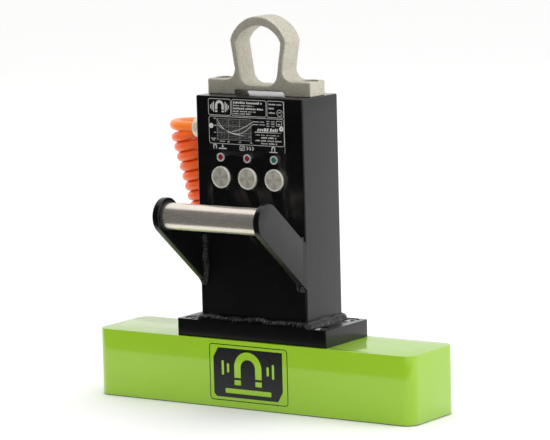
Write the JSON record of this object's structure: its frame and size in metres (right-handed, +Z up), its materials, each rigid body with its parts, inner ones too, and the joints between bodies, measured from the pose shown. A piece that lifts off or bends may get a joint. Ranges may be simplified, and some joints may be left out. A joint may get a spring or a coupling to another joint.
{
  "type": "electro-permanent lifting magnet",
  "caption": "Long bar-shaped lifting magnet with an upright control column, push buttons, a hand bar, a lifting eye on top and a curly supply lead.",
  "frame": {"origin": "centre of the flat working face under the magnet body", "axes": "+Z up out of the back of the magnet towards the lifting eye, +X along the magnet body, -Y towards the side with the buttons and the hand bar"},
  "size_m": [0.356, 0.2417, 0.368],
  "materials": {
    "green_paint": "satin lime green paint, bare ground steel at the working face",
    "black_paint": "satin black powder coat",
    "weld": "rippled weld bead under glossy black paint",
    "cast_eye": "fine grainy cast steel with a pale blasted skin",
    "stainless": "brushed stainless steel",
    "button_steel": "spun brushed stainless steel",
    "screw_steel": "zinc plated screws",
    "screw_black": "black oxide screws",
    "pole_steel": "ground mild steel",
    "rare_earth": "nickel plated sintered magnet",
    "alnico": "cast dark grey magnet alloy",
    "copper_winding": "enamelled copper wire",
    "face_brass": "ground brass filler",
    "black_rubber": "matt black rubber",
    "black_plastic": "moulded black plastic",
    "panel_print": "black label plate with fine white lines and no lettering",
    "rivet_alu": "bright aluminium rivet",
    "lamp_chrome": "bright chrome ring",
    "lamp_red": "dark red clear lens, unlit",
    "lamp_green": "dark green clear lens, unlit",
    "nickel": "nickel plated brass",
    "orange_lead": "smooth orange polyurethane sheath",
    "board_green": "green circuit board",
    "capacitor_sleeve": "dark blue plastic sleeve",
    "heat_sink_alu": "extruded aluminium",
    "terminal_green": "moulded green plastic",
    "wire_red": "red wire insulation"
  },
  "bodies": {
    "magnet": {"magnet_housing": "green_paint", "pole_shoe": "pole_steel", "side_magnets": "rare_earth", "alnico_cores": "alnico", "magnet_coil": "copper_winding", "face_seal": "face_brass", "pole_screws": "screw_steel", "base_plate": "black_paint", "base_gasket": "black_rubber", "base_screws": "screw_steel", "base_weld": "weld", "column_tube": "black_paint", "column_cap": "black_paint", "lifting_eye": "cast_eye", "eye_screws": "screw_black", "handle_bracket_left": "black_paint", "handle_bracket_right": "black_paint", "bracket_welds": "weld", "handle_bar": "stainless", "handle_collars": "black_paint", "nameplate": "panel_print", "nameplate_rivets": "rivet_alu", "button_barrels": "button_steel", "button_nuts": "nickel", "spring_release": "screw_steel", "spring_enable": "screw_steel", "spring_hold": "screw_steel", "button_switches": "black_plastic", "lamp_bezels": "lamp_chrome", "lamp_lenses_red": "lamp_red", "lamp_lens_green": "lamp_green", "gland_body": "nickel", "gland_nut": "nickel", "gland_seal": "black_rubber", "gland_locknut": "nickel", "lead_start": "orange_lead", "lead_coil": "orange_lead", "lead_tail": "orange_lead", "plug_sleeve": "black_rubber", "plug_body": "black_rubber", "plug_pins": "nickel", "control_board": "board_green", "board_standoffs": "face_brass", "board_screws": "screw_steel", "capacitors": "capacitor_sleeve", "power_module": "black_plastic", "heat_sink": "heat_sink_alu", "terminal_block": "terminal_green", "inner_wires": "wire_red"},
    "button_release": {"button_release": "button_steel"},
    "button_enable": {"button_enable": "button_steel"},
    "button_hold": {"button_hold": "button_steel"}
  },
  "joints": [
    {"name": "press_release", "type": "slide", "parent": "magnet", "child": "button_release", "axis": [0, 1, 0], "range_m": [0, 0.0015], "stiffness_N_per_m": 600, "springref_m": -0.001, "deforming": ["spring_release"]},
    {"name": "press_enable", "type": "slide", "parent": "magnet", "child": "button_enable", "axis": [0, 1, 0], "range_m": [0, 0.0015], "stiffness_N_per_m": 600, "springref_m": -0.001, "deforming": ["spring_enable"]},
    {"name": "press_hold", "type": "slide", "parent": "magnet", "child": "button_hold", "axis": [0, 1, 0], "range_m": [0, 0.0015], "stiffness_N_per_m": 600, "springref_m": -0.001, "deforming": ["spring_hold"]}
  ]
}
